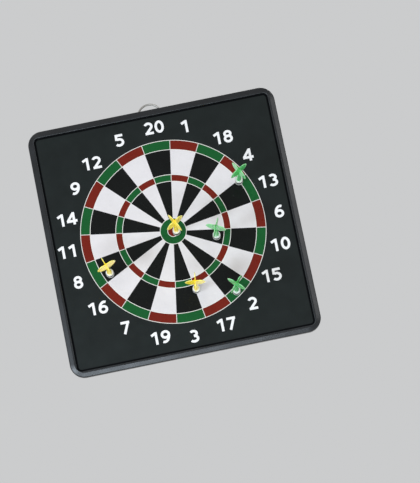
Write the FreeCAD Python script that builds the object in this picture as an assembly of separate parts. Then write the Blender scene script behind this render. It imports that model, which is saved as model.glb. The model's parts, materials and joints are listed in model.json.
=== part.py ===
import FreeCAD, Part
import math
import os

# Reversible magnetic dartboard, in millimetres.
# The board hangs upright: +Z is up and the dart face looks along -Y.
# The origin is the hang point, at the inside top of the wire hanging bail.

# Board
BOARD_SIDE = 315.0
BOARD_THICKNESS = 12.0
CORNER_RADIUS = 18.0
RIM_WIDTH = 8.0
OPENING_CORNER = 6.0
FACE_RECESS = 3.0
WALL = 6.0
POCKET_CORNER = 8.0
RIM_SLOPE_WIDTH = 5.6
RIM_SLOPE_DROP = 1.4
RIM_EDGE_ROUND = 1.4
LIP_ROUND = 0.8
TONGUE_WIDTH = 1.6
TONGUE_HEIGHT = 1.2
TONGUE_CLEARANCE = 0.1

# Layers held between the two frame halves, from the dart face to the back face
PANEL_CLEARANCE = 0.3
PRINT_THICKNESS = 0.4
STEEL_THICKNESS = 0.6

# Wire bail and its slot in the top edge
WIRE_RADIUS = 1.2
BAIL_OUTER_RADIUS = 16.5
BAIL_RISE = 8.6
PIVOT_DEPTH = 3.2
PIVOT_LENGTH = 4.4
BEND_RADIUS = 1.8
JOURNAL_CLEARANCE = 0.05
PIVOT_END_GAP = 0.4
SLOT_WIDTH = 8.0
SLOT_SIDE_GAP = 0.6
SLOT_FLOOR_GAP = 0.4

# Magnetic darts, measured along their own axis from the board outwards
MAGNET_RADIUS = 4.9
MAGNET_LENGTH = 4.0
METAL_EDGE = 0.4
HOLDER_RADIUS = 4.5
HOLDER_LENGTH = 8.5
HOLDER_NOSE = 3.2
RIB_COUNT = 4
RIB_GROOVE = 0.5
RIB_WIDTH = 0.9
COLLAR_RADIUS = 4.8
COLLAR_LENGTH = 2.0
BARREL_LENGTH = 34.5
BARREL_RADII = (2.6, 3.0, 2.8, 2.0, 1.6)
BARREL_STATIONS = (0.0, 0.08, 0.30, 0.75, 1.0)
SPIGOT_RADIUS = 1.5
SPIGOT_LENGTH = 5.5
STEM_RADIUS = 0.9
STEM_LENGTH = 5.0
FIT_CLEARANCE = 0.05
HUB_RADIUS = 1.4
FLIGHT_LENGTH = 35.0
FLIGHT_HALF_SPAN = 12.5
FIN_COUNT = 4
FIN_THICKNESS = 0.8
FIN_STATIONS = (0.0, 0.14, 0.34, 0.56, 0.80, 0.95, 1.0)
FIN_RADII = (0.12, 0.58, 0.92, 1.0, 0.90, 0.66, 0.36)
FIN_ROOT_END = 0.93

# Where each dart sits: (x, z) from the board's centre, and the turn of its fins in degrees
DARTS = {
    "yellow_1": (4.0, -2.0, 57.0),
    "yellow_2": (-87.0, -37.5, 67.0),
    "yellow_3": (14.0, -78.0, 10.0),
    "green_1": (92.5, 45.0, 62.5),
    "green_2": (51.5, -17.5, 22.5),
    "green_3": (62.0, -90.0, 40.0),
}

BOARD_TOP = 2 * WIRE_RADIUS - BAIL_RISE
BARREL_START = MAGNET_LENGTH + HOLDER_LENGTH + COLLAR_LENGTH
BOARD_CENTRE_Z = BOARD_TOP - BOARD_SIDE / 2
HALF_THICKNESS = BOARD_THICKNESS / 2
FACE_Y = HALF_THICKNESS - FACE_RECESS
PIVOT_Z = BOARD_TOP - PIVOT_DEPTH
BAIL_RADIUS = BAIL_OUTER_RADIUS - WIRE_RADIUS
BAIL_CENTRE_Z = WIRE_RADIUS - BAIL_RADIUS
BEND_CENTRE_Z = PIVOT_Z + BEND_RADIUS
BEND_CENTRE_X = math.sqrt((BAIL_RADIUS + BEND_RADIUS) ** 2 - (BEND_CENTRE_Z - BAIL_CENTRE_Z) ** 2)
TOWARDS_BACK = FreeCAD.Vector(0, 1, 0)
TOWARDS_FRONT = FreeCAD.Vector(0, -1, 0)
ALONG_X = FreeCAD.Vector(1, 0, 0)


def save(shape, node):
    """Write one piece, after checking that it is closed and sound."""
    shape = shape.removeSplitter()
    if not shape.isValid() or not shape.Solids:
        raise ValueError(node + " is not a valid solid")
    shape.exportStep("parts/" + node + ".step")


def rounded_plate(side, corner, y_low, y_high):
    """A square plate with round corners about the board's centre line, from y_low to y_high."""
    half = side / 2
    flat = half - corner
    turn = corner * math.sqrt(0.5)
    edges = []
    for quarter in range(4):
        angle = math.radians(90 * quarter)

        def place(x, z):
            across = x * math.cos(angle) - z * math.sin(angle)
            up = x * math.sin(angle) + z * math.cos(angle)
            return FreeCAD.Vector(across, y_low, up + BOARD_CENTRE_Z)

        edges.append(Part.makeLine(place(half, -flat), place(half, flat)))
        middle = place(flat + turn, flat + turn)
        edges.append(Part.Arc(place(half, flat), middle, place(flat, half)).toShape())
    face = Part.Face(Part.Wire(edges))
    return face.extrude(TOWARDS_BACK * (y_high - y_low))


def edges_at(shape, y):
    """The edges of a shape that lie wholly in the plane at y."""
    return [edge for edge in shape.Edges
            if abs(edge.BoundBox.YMin - y) < 1e-4 and abs(edge.BoundBox.YMax - y) < 1e-4]


def reach(edge):
    """How far an edge gets from the board's centre, across or up and down."""
    box = edge.BoundBox
    return max(abs(box.XMin), abs(box.XMax),
               abs(box.ZMin - BOARD_CENTRE_Z), abs(box.ZMax - BOARD_CENTRE_Z))


def slope_rim(plate, rim_y):
    """Slopes the rim's face down towards the board's outside, and rounds its outer edge."""
    plate = plate.makeChamfer(RIM_SLOPE_DROP, RIM_SLOPE_WIDTH, edges_at(plate, rim_y))
    if max(reach(edge) for edge in edges_at(plate, rim_y)) > BOARD_SIDE / 2 - RIM_SLOPE_WIDTH + 0.1:
        raise ValueError("the slope is laid the wrong way round")
    foot_y = math.copysign(abs(rim_y) - RIM_SLOPE_DROP, rim_y)
    return plate.makeFillet(RIM_EDGE_ROUND, edges_at(plate, foot_y))


def frame_ring(side):
    """One moulded half of the rim: side -1 is the dart face's half and +1 is the back's."""
    rim_y = side * HALF_THICKNESS
    lip_y = side * FACE_Y
    outer = rounded_plate(BOARD_SIDE, CORNER_RADIUS, min(0, rim_y), max(0, rim_y))
    outer = slope_rim(outer, rim_y)
    opening_side = BOARD_SIDE - 2 * RIM_WIDTH
    opening = rounded_plate(opening_side, OPENING_CORNER, -BOARD_THICKNESS, BOARD_THICKNESS)
    pocket_side = BOARD_SIDE - 2 * WALL
    pocket = rounded_plate(pocket_side, POCKET_CORNER, min(-side, lip_y), max(-side, lip_y))
    ring = outer.cut(opening)
    lip_edges = [edge for edge in edges_at(ring, rim_y)
                 if reach(edge) < BOARD_SIDE / 2 - RIM_WIDTH + 0.01]
    ring = ring.makeFillet(LIP_ROUND, lip_edges)
    return ring.cut(pocket)


def tongue(clearance):
    """The ring that locates one frame half in the other, grown by a clearance."""
    middle = BOARD_SIDE - WALL
    width = TONGUE_WIDTH + 2 * clearance
    height = TONGUE_HEIGHT + clearance
    corner = (CORNER_RADIUS + POCKET_CORNER) / 2
    outer = rounded_plate(middle + width, corner + width / 2, 0, height)
    inner = rounded_plate(middle - width, corner - width / 2, -1, height + 1)
    return outer.cut(inner)


def bail_slot():
    """The slot in the top edge and the two round journals that hold the bail's ends."""
    half_length = BEND_CENTRE_X + SLOT_SIDE_GAP
    floor_z = PIVOT_Z - WIRE_RADIUS - SLOT_FLOOR_GAP
    corner = FreeCAD.Vector(-half_length, -SLOT_WIDTH / 2, floor_z)
    slot = Part.makeBox(2 * half_length, SLOT_WIDTH, BOARD_TOP + 1 - floor_z, corner)
    journal_half = BEND_CENTRE_X + PIVOT_LENGTH + PIVOT_END_GAP
    start = FreeCAD.Vector(-journal_half, 0, PIVOT_Z)
    journals = Part.makeCylinder(WIRE_RADIUS + JOURNAL_CLEARANCE, 2 * journal_half, start, ALONG_X)
    return slot.fuse(journals)


def tongue_break():
    """The stretch of the top edge where the tongue stops short of the bail's slot."""
    half_length = BEND_CENTRE_X + PIVOT_LENGTH + 4 * PIVOT_END_GAP
    corner = FreeCAD.Vector(-half_length, -BOARD_THICKNESS, BOARD_TOP - WALL)
    return Part.makeBox(2 * half_length, 2 * BOARD_THICKNESS, 2 * WALL, corner)


def make_frames():
    """The two halves of the rim, joined at the board's middle plane."""
    front = frame_ring(-1).fuse(tongue(0).cut(tongue_break()))
    rear = frame_ring(1).cut(tongue(TONGUE_CLEARANCE).cut(tongue_break()))
    save(front.cut(bail_slot()), "front_frame")
    save(rear.cut(bail_slot()), "rear_frame")


def make_layers():
    """The printed faces, the steel sheets that darts hold to, and the core between them."""
    side = BOARD_SIDE - 2 * (WALL + PANEL_CLEARANCE)
    corner = POCKET_CORNER - PANEL_CLEARANCE
    print_inner = FACE_Y - PRINT_THICKNESS
    steel_inner = print_inner - STEEL_THICKNESS
    layers = {
        "dart_print": (-FACE_Y, -print_inner),
        "front_steel": (-print_inner, -steel_inner),
        "core_panel": (-steel_inner, steel_inner),
        "rear_steel": (steel_inner, print_inner),
        "baseball_print": (print_inner, FACE_Y),
    }
    for node, (y_low, y_high) in layers.items():
        save(rounded_plate(side, corner, y_low, y_high), node)


def make_bail():
    """The wire hanging loop: one arc whose ends are bent out along the pivot axis."""
    rise = BEND_CENTRE_Z - BAIL_CENTRE_Z
    arc_share = BAIL_RADIUS / (BAIL_RADIUS + BEND_RADIUS)
    bend_centre = FreeCAD.Vector(BEND_CENTRE_X, 0, BEND_CENTRE_Z)
    bend_start = FreeCAD.Vector(BEND_CENTRE_X, 0, PIVOT_Z)
    bend_end = FreeCAD.Vector(BEND_CENTRE_X * arc_share, 0, BAIL_CENTRE_Z + rise * arc_share)
    towards_middle = (bend_start - bend_centre) + (bend_end - bend_centre)
    bend_middle = bend_centre + towards_middle.normalize() * BEND_RADIUS
    leg_end = bend_start + ALONG_X * PIVOT_LENGTH

    def mirrored(point):
        return FreeCAD.Vector(-point.x, point.y, point.z)

    crown = FreeCAD.Vector(0, 0, BAIL_CENTRE_Z + BAIL_RADIUS)
    path = [
        Part.makeLine(leg_end, bend_start),
        Part.Arc(bend_start, bend_middle, bend_end).toShape(),
        Part.Arc(bend_end, crown, mirrored(bend_end)).toShape(),
        Part.Arc(mirrored(bend_end), mirrored(bend_middle), mirrored(bend_start)).toShape(),
        Part.makeLine(mirrored(bend_start), mirrored(leg_end)),
    ]
    section = Part.Wire([Part.makeCircle(WIRE_RADIUS, leg_end, ALONG_X)])
    save(Part.Wire(path).makePipeShell([section], True, False), "hanger_bail")


def turned_profile(points):
    """A solid of revolution about the Y axis from (distance, radius) points, board outwards."""
    corners = [FreeCAD.Vector(radius, -distance, 0) for distance, radius in points]
    wire = Part.makePolygon(corners + [corners[0]])
    return Part.Face(wire).revolve(FreeCAD.Vector(), TOWARDS_BACK, 360)


def rod(radius, start, end):
    """A plain round rod along the dart's axis between two distances from the board."""
    return Part.makeCylinder(radius, end - start, FreeCAD.Vector(0, -start, 0), TOWARDS_FRONT)


def metal_disc(radius, start, end):
    """A plated disc about the dart's axis, with both of its edges broken."""
    edge = METAL_EDGE
    return turned_profile([(start, 0), (start, radius - edge), (start + edge, radius),
                           (end - edge, radius), (end, radius - edge), (end, 0)])


def dart_magnet():
    """The round magnet, with the blind socket that the holder's nose is glued in."""
    body = metal_disc(MAGNET_RADIUS, 0, MAGNET_LENGTH)
    return body.cut(rod(HOLDER_NOSE + FIT_CLEARANCE, MAGNET_LENGTH / 2, MAGNET_LENGTH + 1))


def dart_collar():
    """The plated ring between the holder and the barrel, threaded on the barrel's spigot."""
    start = MAGNET_LENGTH + HOLDER_LENGTH
    body = metal_disc(COLLAR_RADIUS, start, start + COLLAR_LENGTH)
    return body.cut(rod(SPIGOT_RADIUS + FIT_CLEARANCE, start - 1, start + COLLAR_LENGTH + 1))


def dart_holder():
    """The ribbed black holder between the magnet and the barrel."""
    start = MAGNET_LENGTH
    end = start + HOLDER_LENGTH
    body = rod(HOLDER_RADIUS, start, end)
    pitch = HOLDER_LENGTH / (RIB_COUNT + 1)
    for rib in range(RIB_COUNT):
        groove_start = start + pitch * (rib + 1) - RIB_WIDTH / 2
        ring = rod(HOLDER_RADIUS + 1, groove_start, groove_start + RIB_WIDTH)
        ring = ring.cut(rod(HOLDER_RADIUS - RIB_GROOVE, groove_start - 1, groove_start + 2 * RIB_WIDTH))
        body = body.cut(ring)
    nose = rod(HOLDER_NOSE, MAGNET_LENGTH / 2 + FIT_CLEARANCE, start + 1)
    depth = SPIGOT_LENGTH - COLLAR_LENGTH + FIT_CLEARANCE
    socket = rod(SPIGOT_RADIUS + FIT_CLEARANCE, end - depth, end + 1)
    return body.fuse(nose).cut(socket)


def dart_barrel():
    """The tapered barrel, with a spigot for the holder and a socket for the flight's stem."""
    start = BARREL_START
    end = start + BARREL_LENGTH
    profile = [(start + BARREL_LENGTH * station, radius)
               for station, radius in zip(BARREL_STATIONS, BARREL_RADII)]
    poles = [FreeCAD.Vector(radius, -distance, 0) for distance, radius in profile]
    curve = Part.BSplineCurve()
    curve.interpolate(poles)
    front_centre = FreeCAD.Vector(0, -start, 0)
    rear_centre = FreeCAD.Vector(0, -end, 0)
    outline = Part.Wire([Part.makeLine(front_centre, poles[0]), curve.toShape(),
                         Part.makeLine(poles[-1], rear_centre),
                         Part.makeLine(rear_centre, front_centre)])
    body = Part.Face(outline).revolve(FreeCAD.Vector(), TOWARDS_BACK, 360)
    spigot = rod(SPIGOT_RADIUS, start - SPIGOT_LENGTH, start + 1)
    socket = rod(STEM_RADIUS + FIT_CLEARANCE, end - STEM_LENGTH - FIT_CLEARANCE, end + 1)
    return body.fuse(spigot).cut(socket)


def dart_fin(start):
    """One fin: a thin leaf that swells from the barrel and ends in a rounded tail."""
    half = FIN_THICKNESS / 2

    def at(station, radius):
        return FreeCAD.Vector(radius, -(start + FLIGHT_LENGTH * station), -half)

    edge_points = [at(station, FLIGHT_HALF_SPAN * share)
                   for station, share in zip(FIN_STATIONS, FIN_RADII)]
    edge = Part.BSplineCurve()
    edge.interpolate(edge_points)
    root_front = at(0, 0)
    root_rear = at(FIN_ROOT_END, 0)
    outline = Part.Wire([Part.makeLine(root_front, edge_points[0]), edge.toShape(),
                         Part.makeLine(edge_points[-1], root_rear),
                         Part.makeLine(root_rear, root_front)])
    return Part.Face(outline).extrude(FreeCAD.Vector(0, 0, FIN_THICKNESS))


def dart_flight():
    """The moulded four-fin flight on a round hub, with the stem that pushes into the barrel."""
    start = BARREL_START + BARREL_LENGTH
    hub = rod(HUB_RADIUS, start, start + FLIGHT_LENGTH * 0.45)
    stem = rod(STEM_RADIUS, start - STEM_LENGTH, start + 1)
    fins = []
    for index in range(FIN_COUNT):
        fin = dart_fin(start)
        fin.rotate(FreeCAD.Vector(), TOWARDS_BACK, 360 / FIN_COUNT * index)
        fins.append(fin)
    return hub.fuse([stem] + fins)


def make_darts():
    """Every dart's five pieces, each moved to where the dart sits on the dart face."""
    pieces = {"magnet": dart_magnet(), "holder": dart_holder(), "collar": dart_collar(),
              "barrel": dart_barrel(), "flight": dart_flight()}
    for dart, (x, z, turn) in DARTS.items():
        for piece, shape in pieces.items():
            placed = shape.copy()
            placed.rotate(FreeCAD.Vector(), TOWARDS_BACK, turn)
            placed.translate(FreeCAD.Vector(x, -FACE_Y, BOARD_CENTRE_Z + z))
            save(placed, piece + "_" + dart)


os.makedirs("parts", exist_ok=True)
make_frames()
make_layers()
make_bail()
make_darts()
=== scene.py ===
import json
import math
import bmesh
import bpy
from mathutils import Matrix, Vector

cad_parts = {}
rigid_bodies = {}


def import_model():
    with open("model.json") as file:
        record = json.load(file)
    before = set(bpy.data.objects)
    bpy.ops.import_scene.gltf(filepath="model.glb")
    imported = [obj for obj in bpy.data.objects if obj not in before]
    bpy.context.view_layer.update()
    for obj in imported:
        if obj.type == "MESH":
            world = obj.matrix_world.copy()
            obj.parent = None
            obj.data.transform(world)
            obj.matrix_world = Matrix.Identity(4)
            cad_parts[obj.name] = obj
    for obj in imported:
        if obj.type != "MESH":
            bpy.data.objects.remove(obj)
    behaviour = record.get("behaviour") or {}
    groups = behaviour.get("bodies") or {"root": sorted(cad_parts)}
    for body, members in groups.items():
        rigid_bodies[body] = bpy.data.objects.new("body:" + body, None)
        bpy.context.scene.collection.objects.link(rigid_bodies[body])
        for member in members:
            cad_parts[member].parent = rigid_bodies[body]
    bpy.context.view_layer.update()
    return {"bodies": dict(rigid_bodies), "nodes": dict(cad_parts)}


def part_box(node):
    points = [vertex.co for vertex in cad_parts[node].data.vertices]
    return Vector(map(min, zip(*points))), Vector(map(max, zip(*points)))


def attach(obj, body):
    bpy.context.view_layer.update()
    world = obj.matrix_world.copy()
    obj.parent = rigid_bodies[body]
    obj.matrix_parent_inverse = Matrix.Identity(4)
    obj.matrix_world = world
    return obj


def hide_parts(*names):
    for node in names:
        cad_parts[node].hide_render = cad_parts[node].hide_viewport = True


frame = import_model()

MM = 0.001

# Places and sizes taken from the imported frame, in millimetres where they end in _MM
rim_low, rim_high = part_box("front_frame")
BOARD_CENTRE = Vector(((rim_low.x + rim_high.x) / 2, 0.0, (rim_low.z + rim_high.z) / 2))
BOARD_SIDE_MM = (rim_high.x - rim_low.x) / MM
DART_FACE_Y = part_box("dart_print")[0].y
BACK_FACE_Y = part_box("baseball_print")[1].y
DARTS = [body for body in frame["bodies"] if body.startswith("dart_")]

# Thickness of printed ink, and how far it goes down into the film below it
INK_MM = 0.02
INK_ROOT_MM = 0.05

# Dart face: the scoring circle is a share of the board's side, the rest are shares of that circle
SCORING_RADIUS_MM = BOARD_SIDE_MM * 0.3667
DOUBLE_INNER_MM = SCORING_RADIUS_MM * 0.896
TRIPLE_OUTER_MM = SCORING_RADIUS_MM * 0.62
TRIPLE_INNER_MM = SCORING_RADIUS_MM * 0.547
BULL_OUTER_MM = SCORING_RADIUS_MM * 0.141
BULL_INNER_MM = SCORING_RADIUS_MM * 0.060
NUMBER_RADIUS_MM = SCORING_RADIUS_MM * 1.16
LINE_MM = 0.7
SECTOR_DEGREES = 18
NUMBERS = [20, 1, 18, 4, 13, 6, 10, 15, 2, 17, 3, 19, 7, 16, 8, 11, 14, 9, 12, 5]
# Degrees that some numbers are printed clockwise of the middle of their sector
NUMBER_TURNS = {20: 0.8, 1: -0.4, 18: 2.8, 4: 1.4, 13: 1.3, 6: 0.8, 10: 0.6,
                7: 1.2, 16: 1.4, 8: 0.8, 11: 0.3, 14: -0.3, 9: -0.7, 12: -2.6, 5: -1.1}

# Order of printing on the dart face, lowest first
BED_LEVEL = 1
BULL_LEVEL = 2
PAINTED_SHADE_LEVEL = 2
SPOKE_LEVEL = 3
NUMERAL_LEVEL = 3
RING_LEVEL = 4

# Numerals
DIGIT_HEIGHT_MM = 15.7
DIGIT_STROKE_MM = 3.1
DIGIT_WIDTH_MM = 11.6
DIGIT_PITCH_MM = 13.3

# Painted shade: a near-black band round the dart face where it meets the rim, standing in for the
# shadow in the recess under the rim's lip
RIM_WIDTH_MM = 8.0
OPENING_HALF_MM = BOARD_SIDE_MM / 2 - RIM_WIDTH_MM
OPENING_CORNER_MM = 6.0
PAINTED_SHADE_MM = 2.3

# Baseball face: the side of the printed area
FIELD_SIDE_MM = BOARD_SIDE_MM * 0.955

# Degrees between an arc's points: on small shapes, on the large rings, on the painted shade band's
# corners
ARC_STEP = 4.0
FINE_STEP = 1.5
CORNER_STEP = 15

# How far a stroke's sides may come together at a sharp corner, as a share of its width
LEAST_MITRE = 0.35


# -------------------------------- materials

# Pattern sizes: noise scales in 1/m, relief depths and the painted edge highlights' width in metres
PRINT_GRAIN = 1400.0
PRINT_RELIEF = 0.00002
PRINT_PATCHES = 35.0
PICTURE_PATCHES = 60.0
CROWD_CELLS = 620.0
BLADES = 900.0
MOULDING_PATCHES = 28.0
MOULDING_GRAIN = 2600.0
MOULDING_RELIEF = 0.00004
EDGE_HIGHLIGHT_WIDTH = 0.0008
EDGE_HIGHLIGHT_PATCHES = 240.0
METAL_CLOUDS = 180.0
METAL_RELIEF = 0.00001
DART_FLOW = 90.0
DART_GRAIN = 700.0

# Where a noise's values mostly lie
NOISE_LOW = 0.3
NOISE_HIGH = 0.7

# Mown stripes: where they meet, below the centre, as a share of the side, their rate and blur
STRIPES_MEET = 0.62
STRIPE_RATE = 52.0
STRIPE_BLUR = 0.35

# Heights of the sky's lower and upper colour above the centre, as shares of the side
SKY_LOW = 0.22
SKY_TOP = 0.47


def tint(red, green, blue):
    """A linear colour from display values of 0 to 255."""
    def linear(value):
        share = value / 255
        return share / 12.92 if share <= 0.04045 else ((share + 0.055) / 1.055) ** 2.4
    return (linear(red), linear(green), linear(blue), 1.0)


class Surface:
    """One procedural material, built node by node from object coordinates in metres."""

    def __init__(self, name, **sockets):
        self.material = bpy.data.materials.new(name)
        self.material.use_nodes = True
        self.tree = self.material.node_tree
        self.shader = self.tree.nodes["Principled BSDF"]
        self.place = self.add("ShaderNodeTexCoord").outputs["Object"]
        for socket, value in sockets.items():
            label = socket.replace("_", " ").title().replace("Ior", "IOR")
            self.shader.inputs[label].default_value = value

    def add(self, kind, **settings):
        node = self.tree.nodes.new(kind)
        for key, value in settings.items():
            setattr(node, key, value)
        return node

    def link(self, output, target):
        self.tree.links.new(output, target)

    def to(self, output, socket):
        self.link(output, self.shader.inputs[socket])

    def noise(self, scale, detail=2.0, stretch=None):
        node = self.add("ShaderNodeTexNoise")
        node.inputs["Scale"].default_value = scale
        node.inputs["Detail"].default_value = detail
        source = self.place
        if stretch:
            mapping = self.add("ShaderNodeMapping")
            mapping.inputs["Scale"].default_value = stretch
            self.link(self.place, mapping.inputs["Vector"])
            source = mapping.outputs["Vector"]
        self.link(source, node.inputs["Vector"])
        return node.outputs["Fac"]

    def ramp(self, value, stops):
        node = self.add("ShaderNodeValToRGB")
        elements = node.color_ramp.elements
        while len(elements) < len(stops):
            elements.new(0.5)
        for element, (position, colour) in zip(elements, stops):
            element.position = position
            element.color = colour
        self.link(value, node.inputs["Fac"])
        return node.outputs["Color"]

    def blend(self, noise, first, second):
        """From one colour to another over the values that a noise mostly takes."""
        return self.ramp(noise, [(NOISE_LOW, first), (NOISE_HIGH, second)])

    def span(self, value, low, high, start=NOISE_LOW, end=NOISE_HIGH):
        node = self.add("ShaderNodeMapRange")
        for socket, number in (("From Min", start), ("From Max", end),
                               ("To Min", low), ("To Max", high)):
            node.inputs[socket].default_value = number
        self.link(value, node.inputs["Value"])
        return node.outputs["Result"]

    def mix(self, share, first, second):
        node = self.add("ShaderNodeMix", data_type="RGBA")
        self.link(share, node.inputs[0])
        for socket, value in ((node.inputs[6], first), (node.inputs[7], second)):
            if isinstance(value, tuple):
                socket.default_value = value
            else:
                self.link(value, socket)
        return node.outputs[2]

    def bump(self, height, distance, strength=1.0):
        node = self.add("ShaderNodeBump")
        node.inputs["Distance"].default_value = distance
        node.inputs["Strength"].default_value = strength
        self.link(height, node.inputs["Height"])
        self.to(node.outputs["Normal"], "Normal")

    def picture_finish(self):
        """The gloss and the fine relief that the pictures on the baseball face share."""
        self.to(self.span(self.noise(PICTURE_PATCHES), 0.28, 0.40), "Roughness")
        self.bump(self.noise(PRINT_GRAIN, 3.0), PRINT_RELIEF)

    def worn_edges(self, radius):
        """1 along edges, 0 on flats: where a bevelled normal leaves the real one. It masks the
        painted edge highlights.
        """
        bevel = self.add("ShaderNodeBevel", samples=4)
        bevel.inputs["Radius"].default_value = radius
        geometry = self.add("ShaderNodeNewGeometry")
        dot = self.add("ShaderNodeVectorMath", operation="DOT_PRODUCT")
        self.link(bevel.outputs["Normal"], dot.inputs[0])
        self.link(geometry.outputs["Normal"], dot.inputs[1])
        return self.span(dot.outputs["Value"], 1.0, 0.0, 0.90, 0.995)


def mottled(name, colour, contrast, rough, mottle=PRINT_PATCHES, grain=PRINT_GRAIN,
            depth=PRINT_RELIEF, **sockets):
    """A printed or moulded surface whose colour, gloss and fine relief all vary a little."""
    surface = Surface(name, **sockets)
    dark = tuple(channel * (1 - contrast) for channel in colour[:3]) + (1.0,)
    light = tuple(min(1.0, channel * (1 + contrast)) for channel in colour[:3]) + (1.0,)
    patches = surface.noise(mottle, 4.0)
    surface.to(surface.blend(patches, dark, light), "Base Color")
    surface.to(surface.span(surface.noise(mottle * 3, 3.0), rough[0], rough[1]), "Roughness")
    surface.bump(surface.noise(grain, 3.0), depth)
    return surface.material


def frame_plastic():
    """Satin black moulding with a fine spark-eroded grain, with paler painted highlights along its
    edges.
    """
    surface = Surface("frame_plastic", specular_ior_level=0.42)
    edge = surface.worn_edges(EDGE_HIGHLIGHT_WIDTH)
    patches = surface.noise(MOULDING_PATCHES, 4.0)
    body = surface.blend(patches, tint(16, 18, 20), tint(22, 24, 27))
    highlight_patches = surface.noise(EDGE_HIGHLIGHT_PATCHES, 4.0)
    edge_highlight_share = surface.add("ShaderNodeMath", operation="MULTIPLY")
    surface.link(edge, edge_highlight_share.inputs[0])
    surface.link(surface.span(highlight_patches, 0.15, 1.0), edge_highlight_share.inputs[1])
    # Painted highlight: the edges are mixed towards a pale bluish grey, in patches
    surface.to(surface.mix(edge_highlight_share.outputs["Value"], body, tint(104, 108, 112)), "Base Color")
    surface.to(surface.span(patches, 0.26, 0.34), "Roughness")
    surface.bump(surface.noise(MOULDING_GRAIN), MOULDING_RELIEF, 0.6)
    return surface.material


def metal(name, colour, rough, stretch, scratch_scale):
    """Plated or sheet metal with fine directional scratches and cloudy patches."""
    surface = Surface(name, metallic=1.0)
    patches = surface.noise(METAL_CLOUDS, 3.0)
    dark = tuple(channel * 0.82 for channel in colour[:3]) + (1.0,)
    surface.to(surface.blend(patches, dark, colour), "Base Color")
    scratches = surface.noise(scratch_scale, 2.0, stretch)
    surface.to(surface.span(scratches, rough[0], rough[1]), "Roughness")
    surface.bump(scratches, METAL_RELIEF, 0.5)
    return surface.material


def dart_plastic(name, colour, pale, painted_glow):
    """Injection-moulded fluorescent plastic, paler where the attribute 'pale' says so; its colour is
    also given off as light, a painted glow that brightens it.
    """
    surface = Surface(name, ior=1.46, subsurface_weight=0.15, subsurface_scale=0.002,
                      coat_weight=0.25, coat_roughness=0.12, emission_strength=painted_glow)
    share = surface.add("ShaderNodeAttribute", attribute_name="pale").outputs["Fac"]
    flow = surface.noise(DART_FLOW, 3.0, (1.0, 0.25, 1.0))
    deep = tuple(channel * 0.86 for channel in colour[:3]) + (1.0,)
    body = surface.blend(flow, deep, colour)
    tone = surface.mix(share, body, pale)
    surface.to(tone, "Base Color")
    # Painted glow: the plastic's colour is emitted as light, though it is no lamp
    surface.to(tone, "Emission Color")
    surface.to(surface.span(flow, 0.22, 0.34), "Roughness")
    surface.bump(surface.noise(DART_GRAIN), PRINT_RELIEF, 0.5)
    return surface.material


def grass():
    """Printed grass: mown stripes that fan out from below home plate, with a fine dot grain."""
    surface = Surface("grass_ink", specular_ior_level=0.4)
    centre = BOARD_CENTRE - Vector((0, 0, BOARD_SIDE_MM * MM * STRIPES_MEET))
    offset = surface.add("ShaderNodeVectorMath", operation="SUBTRACT")
    surface.link(surface.place, offset.inputs[0])
    offset.inputs[1].default_value = centre
    parts = surface.add("ShaderNodeSeparateXYZ")
    surface.link(offset.outputs["Vector"], parts.inputs["Vector"])
    angle = surface.add("ShaderNodeMath", operation="ARCTAN2")
    surface.link(parts.outputs["X"], angle.inputs[0])
    surface.link(parts.outputs["Z"], angle.inputs[1])
    waves = surface.add("ShaderNodeMath", operation="MULTIPLY")
    surface.link(angle.outputs["Value"], waves.inputs[0])
    waves.inputs[1].default_value = STRIPE_RATE
    stripe = surface.add("ShaderNodeMath", operation="SINE")
    surface.link(waves.outputs["Value"], stripe.inputs[0])
    share = surface.span(stripe.outputs["Value"], 0.0, 1.0, -STRIPE_BLUR, STRIPE_BLUR)
    blades = surface.noise(BLADES, 3.0)
    dark = surface.blend(blades, tint(17, 96, 45), tint(26, 116, 54))
    light = surface.blend(blades, tint(28, 128, 60), tint(42, 150, 72))
    surface.to(surface.mix(share, dark, light), "Base Color")
    surface.picture_finish()
    return surface.material


def sky():
    """Printed sky: light blue at the top edge, down to a deep blue above the stand."""
    surface = Surface("sky_ink", specular_ior_level=0.4)
    parts = surface.add("ShaderNodeSeparateXYZ")
    surface.link(surface.place, parts.inputs["Vector"])
    top = BOARD_CENTRE.z + BOARD_SIDE_MM * MM * SKY_TOP
    low = BOARD_CENTRE.z + BOARD_SIDE_MM * MM * SKY_LOW
    height = surface.span(parts.outputs["Z"], 0.0, 1.0, low, top)
    stops = [(0.0, tint(42, 38, 120)), (0.35, tint(35, 62, 160)),
             (0.62, tint(32, 120, 205)), (1.0, tint(60, 170, 235))]
    surface.to(surface.ramp(height, stops), "Base Color")
    surface.picture_finish()
    return surface.material


def crowd():
    """Printed stand full of people, as pale and dark specks."""
    surface = Surface("crowd_ink", specular_ior_level=0.4)
    cells = surface.add("ShaderNodeTexVoronoi")
    cells.inputs["Scale"].default_value = CROWD_CELLS
    surface.link(surface.place, cells.inputs["Vector"])
    speck = surface.add("ShaderNodeSeparateColor")
    surface.link(cells.outputs["Color"], speck.inputs["Color"])
    stops = [(0.0, tint(28, 26, 28)), (0.30, tint(86, 80, 78)), (0.42, tint(196, 190, 182)),
             (0.80, tint(236, 232, 226)), (0.93, tint(150, 92, 74))]
    surface.to(surface.ramp(speck.outputs["Red"], stops), "Base Color")
    surface.picture_finish()
    return surface.material


def ink(name, colour, contrast=0.05):
    """Satin screen-printed ink."""
    return mottled(name, colour, contrast, (0.24, 0.34), specular_ior_level=0.2)


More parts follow.
